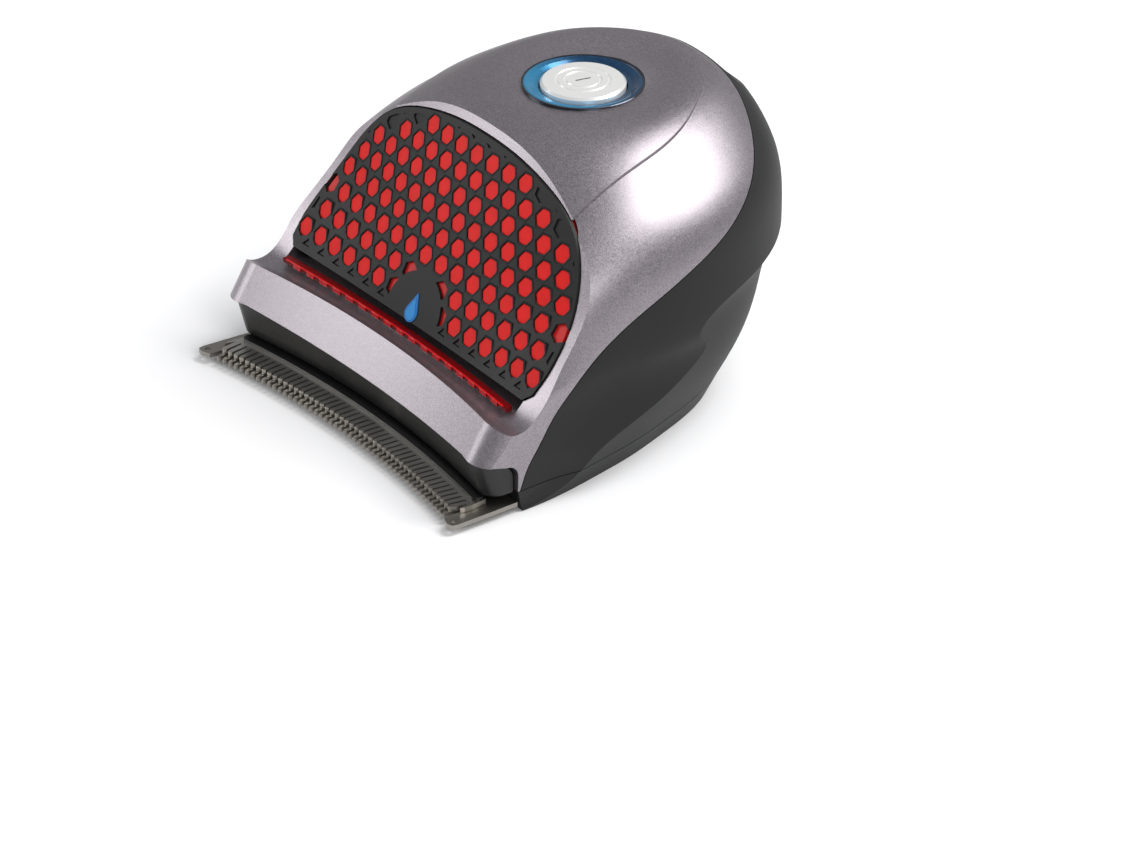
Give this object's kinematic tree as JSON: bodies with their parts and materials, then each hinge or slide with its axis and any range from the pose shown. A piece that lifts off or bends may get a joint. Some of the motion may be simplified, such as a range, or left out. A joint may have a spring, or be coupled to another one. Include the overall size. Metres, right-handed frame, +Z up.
{
  "type": "hair clipper",
  "caption": "Palm-held cordless hair clipper with a domed body, honeycomb front panel, lit power button and a wide curved blade head.",
  "frame": {"origin": "centre of the bounding box, on the plane of the base plate's underside", "axes": "+X to the clipper's left-to-right width, +Y towards the rounded rear, -Y towards the blade, +Z up through the power button"},
  "size_m": [0.0787, 0.0849, 0.0533],
  "materials": {
    "shell_silver": "gloss",
    "soft_black": "matte",
    "seal_rubber": "matte",
    "base_black": "matte",
    "grille_black": "matte",
    "badge_blue": "gloss",
    "red_plastic": "gloss",
    "strip_red": "gloss",
    "blade_steel": "satin ground",
    "cutter_steel": "satin ground",
    "head_black": "matte",
    "screw_steel": "satin ground",
    "carrier_black": "matte",
    "spring_steel": "satin ground",
    "motor_steel": "satin ground",
    "shaft_steel": "satin ground",
    "crank_brass": "turned",
    "frame_grey": "matte",
    "battery_wrap": "matte",
    "tab_nickel": "satin ground",
    "board_green": "matte",
    "switch_body": "matte",
    "lamp_white": "gloss",
    "chip_black": "matte",
    "button_chrome": "polished",
    "ring_blue": "gloss",
    "trim_chrome": "polished",
    "socket_black": "matte",
    "lead_red": "matte",
    "lead_black": "matte"
  },
  "bodies": {
    "body": {"top_shell": "shell_silver", "lower_housing": "soft_black", "base_gasket": "seal_rubber", "base_plate": "base_black", "grille_panel": "grille_black", "drop_badge": "badge_blue", "red_backing": "red_plastic", "slot_strip": "strip_red", "motor_can": "motor_steel", "motor_bracket": "frame_grey", "battery_cell": "battery_wrap", "battery_cradle": "frame_grey", "battery_tabs": "tab_nickel", "main_board": "board_green", "tact_switch": "switch_body", "ring_lamps": "lamp_white", "charge_chip": "chip_black", "button_ring": "ring_blue", "button_trim": "trim_chrome", "button_seal": "seal_rubber", "ring_holder": "frame_grey", "charging_socket": "socket_black", "housing_screws": "screw_steel", "screw_sleeves": "frame_grey", "battery_leads": "lead_red", "motor_leads": "lead_black", "socket_leads": "lead_black"},
    "blade_head": {"head_holder": "head_black", "comb_blade": "blade_steel", "blade_screws": "screw_steel", "tension_leaf": "spring_steel"},
    "cutter": {"moving_cutter": "cutter_steel", "cutter_carrier": "carrier_black"},
    "rotor": {"motor_shaft": "shaft_steel", "eccentric_crank": "crank_brass"},
    "button": {"power_button": "button_chrome"}
  },
  "joints": [
    {"name": "head_slide", "type": "slide", "parent": "body", "child": "blade_head", "axis": [0, -1, 0], "range_m": [0, 0.03]},
    {"name": "cutter_swing", "type": "hinge", "parent": "blade_head", "child": "cutter", "pos_m": [0, -0.23645, 0.0025], "axis": [0, 0, 1], "range_deg": [-0.2851, 0.2851]},
    {"name": "motor_spin", "type": "hinge", "parent": "body", "child": "rotor", "pos_m": [0, -0.00475, 0.012], "axis": [0, 0, 1], "continuous": true},
    {"name": "power_press", "type": "slide", "parent": "body", "child": "button", "axis": [0, 0, -1], "range_m": [0, 0.0006], "stiffness_N_per_m": 1500, "springref_m": -0.0004}
  ]
}
